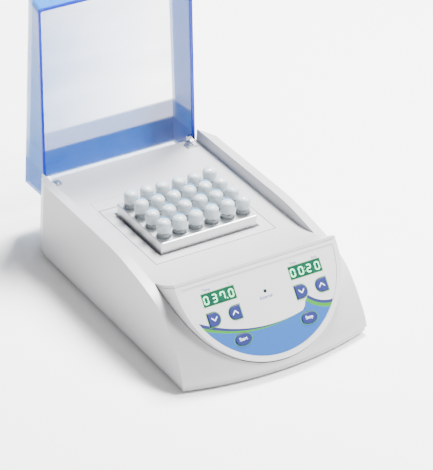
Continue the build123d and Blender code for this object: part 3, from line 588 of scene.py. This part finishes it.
def turned(profile, steps, into, matrix):
    """Spins a profile of (radius, height) about an upright axis and adds it to a mesh."""
    part = bmesh.new()
    points = [part.verts.new((radius, 0, height)) for radius, height in profile]
    edges = [part.edges.new(pair) for pair in zip(points, points[1:])]
    bmesh.ops.spin(part, geom=points + edges, cent=(0, 0, 0), axis=(0, 0, 1), angle=2 * pi, steps=steps,
                   use_merge=True)
    bmesh.ops.remove_doubles(part, verts=part.verts[:], dist=0.0005)
    bmesh.ops.recalc_face_normals(part, faces=part.faces[:])
    part.transform(matrix)
    held = bpy.data.meshes.new("held")
    part.to_mesh(held)
    part.free()
    into.from_mesh(held)
    bpy.data.meshes.remove(held)


def crescent(start, seat, into):
    """A painted reflection of the blue lid: a bent bar that follows the cap's edge and thins out towards both
    ends.
    """
    rings = []
    for step in range(REFLECTION_STEPS + 1):
        turn = start + step * REFLECTION_SWEEP / REFLECTION_STEPS
        outward = Vector((cos(turn), sin(turn), 0))
        thick = 0.35 + 0.65 * sin(pi * step / REFLECTION_STEPS)
        rings.append([into.verts.new(seat @ (outward * (6.1 + across * thick) + Vector((0, 0, 9.0 + up * thick))))
                      for across, up in REFLECTION_SECTION])
    sides = len(REFLECTION_SECTION)
    for one, two in zip(rings, rings[1:]):
        for i in range(sides):
            into.faces.new((one[i], one[(i + 1) % sides], two[(i + 1) % sides], two[i]))
    into.faces.new(list(reversed(rings[0])))
    into.faces.new(rings[-1])


# radius and height in millimetres: a cap from its own base, a tube from the floor
CAP = [(0, 3.6), (5.0, 3.6), (5.1, 0.1), (5.9, 0.0), (6.25, 0.5), (6.1, 1.5), (6.3, 2.0), (6.3, 6.2), (6.1, 7.7),
       (5.5, 9.0), (4.5, 9.9), (3.0, 10.5), (1.5, 10.75), (0, 10.8)]
TUBE = [(0, 35.5), (1.6, 35.5), (5.2, 53.3), (5.35, 73.2), (5.35, 73.9), (6.0, 74.3), (6.0, 75.6), (5.35, 75.8),
        (5.2, 80.6), (4.4, 80.6), (4.3, 53.6), (0.8, 36.8), (0, 36.8)]
REFLECTION_SECTION = [(0.8 * cos(step * pi / 4), sin(step * pi / 4)) for step in range(8)]
REFLECTION_STEPS, REFLECTION_SWEEP = 12, 1.7
caps, tubes, lid_reflections = bmesh.new(), bmesh.new(), bmesh.new()
for column in range(COLUMNS):
    for row in range(ROWS):
        at = Vector(((column - (COLUMNS - 1) / 2) * PITCH_X, BLOCK_Y + (row - (ROWS - 1) / 2) * PITCH_Y, 0))
        tip_x, tip_y = random.uniform(-LEAN, LEAN), random.uniform(-LEAN, LEAN)
        lean = Euler((tip_x, tip_y, random.uniform(0, 6))).to_matrix().to_4x4()
        cap_at = at + Vector((0, 0, CAP_BASE + random.uniform(-LIFT, LIFT)))
        seat = Matrix.Scale(MM, 4) @ Matrix.Translation(cap_at)
        turned(CAP, 32, caps, seat @ lean)
        turned(TUBE, 28, tubes, Matrix.Scale(MM, 4) @ Matrix.Translation(at))
        # painted reflection of the blue lid: a blue crescent on each cap that has another cap behind it and to
        # its right
        if row < ROWS - 1 and column < COLUMNS - 1:
            crescent(random.uniform(0.05, 0.3), seat, lid_reflections)

frost = Finish("frosted_cap")
cloud = frost.noise(240, 3, 0.7)
frosted_cap = frost.done(Base_Color=frost.mix(cloud, rgb(0.36, 0.42, 0.46), rgb(0.72, 0.77, 0.80)), Roughness=0.3,
                         Alpha=0.62 + cloud * 0.25, Coat_Weight=0.3,
                         Normal=frost.bump(frost.noise(420, 2), 0.5, 0.0004))
clear_tube = Finish("clear_tube").done(Base_Color=rgb(0.38, 0.42, 0.44), Roughness=0.12, Alpha=0.42,
                                       Coat_Weight=0.4)
# painted reflection: the colour of the blue lid's reflection in the crescents behind the caps
lid_reflection_blue = Finish("lid_reflection_blue").done(Base_Color=rgb(0.01, 0.24, 0.50), Roughness=0.4, Alpha=0.8)
cap_piece = piece("domed_caps", caps, frosted_cap, "tubes", smooth=True)
tube_piece = piece("spun_tubes", tubes, clear_tube, "tubes", smooth=True)
piece("cap_lid_reflections", lid_reflections, lid_reflection_blue, "tubes", smooth=True)
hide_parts("tube_caps")
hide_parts("sample_tubes")
wear("fuse", finish=clear_tube)
print(len(cap_piece.data.polygons), "cap faces,", len(tube_piece.data.polygons), "tube faces")

# %% [markdown]
# ## Lid
# The lid is clear blue acrylic. Looked through, its large panel is almost colourless and only its cut edges
# and corners gather colour. The low part, near the hinge, is seen through twice and reads as two darker
# bands. All of this is written as places on the lid, so it stays with the lid when it closes.

# %% Lid
LID_HALF_WIDTH = 78
acrylic = Finish("clear_blue_acrylic")
lid_x, lid_y, lid_z = acrylic.place()

# which part of the lid a point is on: its cut edge, the large panel, the wall at the hinge, the two bands
from_edge = lid_y - 119.1 - (lid_z - 65.3) * 0.0489
depth = 37.4 - (lid_z - 44.0) * 0.0418
edge = from_edge.below(1.7, 0.6)
on_panel = 1 - (from_edge - depth).below(-3.6, 0.6)
hinge_wall = lid_z.below(46.2, 0.4)
low_band = lid_z.below(72.0, 1.2)
next_band = lid_z.below(90.0, 1.6)

# how much of what is behind it shows: the panel clears to the right, with faint slanting streaks
across = ((lid_x + LID_HALF_WIDTH) / (2 * LID_HALF_WIDTH)).most(0.0)
streaks = (acrylic.noise(16, 2, 0.5, (0.35, 0.35, 1.5)) - 0.5) * 0.3
opacity = acrylic.node("ShaderNodeMapRange", {"clamp": True}, {"Value": across, "From Min": 0.0, "From Max": 0.85,
                                                               "To Min": 0.50, "To Max": 0.12})
opacity = (opacity + streaks).most(0.03).most(next_band * 0.62).most(low_band * 0.88)
opacity = opacity * on_panel + (1 - on_panel) * (0.74 + next_band * 0.14)
opacity = (opacity + edge * 0.6).least(0.95)
opacity = opacity * (1 - hinge_wall) + hinge_wall * 0.35

tone = acrylic.mix(next_band.most(1 - on_panel), rgb(0.0, 0.25, 0.70), rgb(0.0, 0.16, 0.56))
tone = acrylic.mix(low_band, tone, rgb(0.0, 0.12, 0.50))
tone = acrylic.mix(hinge_wall, tone, rgb(0.4, 0.75, 1.0))
tone = acrylic.mix(edge, tone, rgb(0.0, 0.02, 0.40))
clear_blue = acrylic.done(Base_Color=tone, Roughness=0.1, Alpha=opacity, Specular_IOR_Level=0.12)
wear("lid_shell", finish=clear_blue)
print("lid ready")
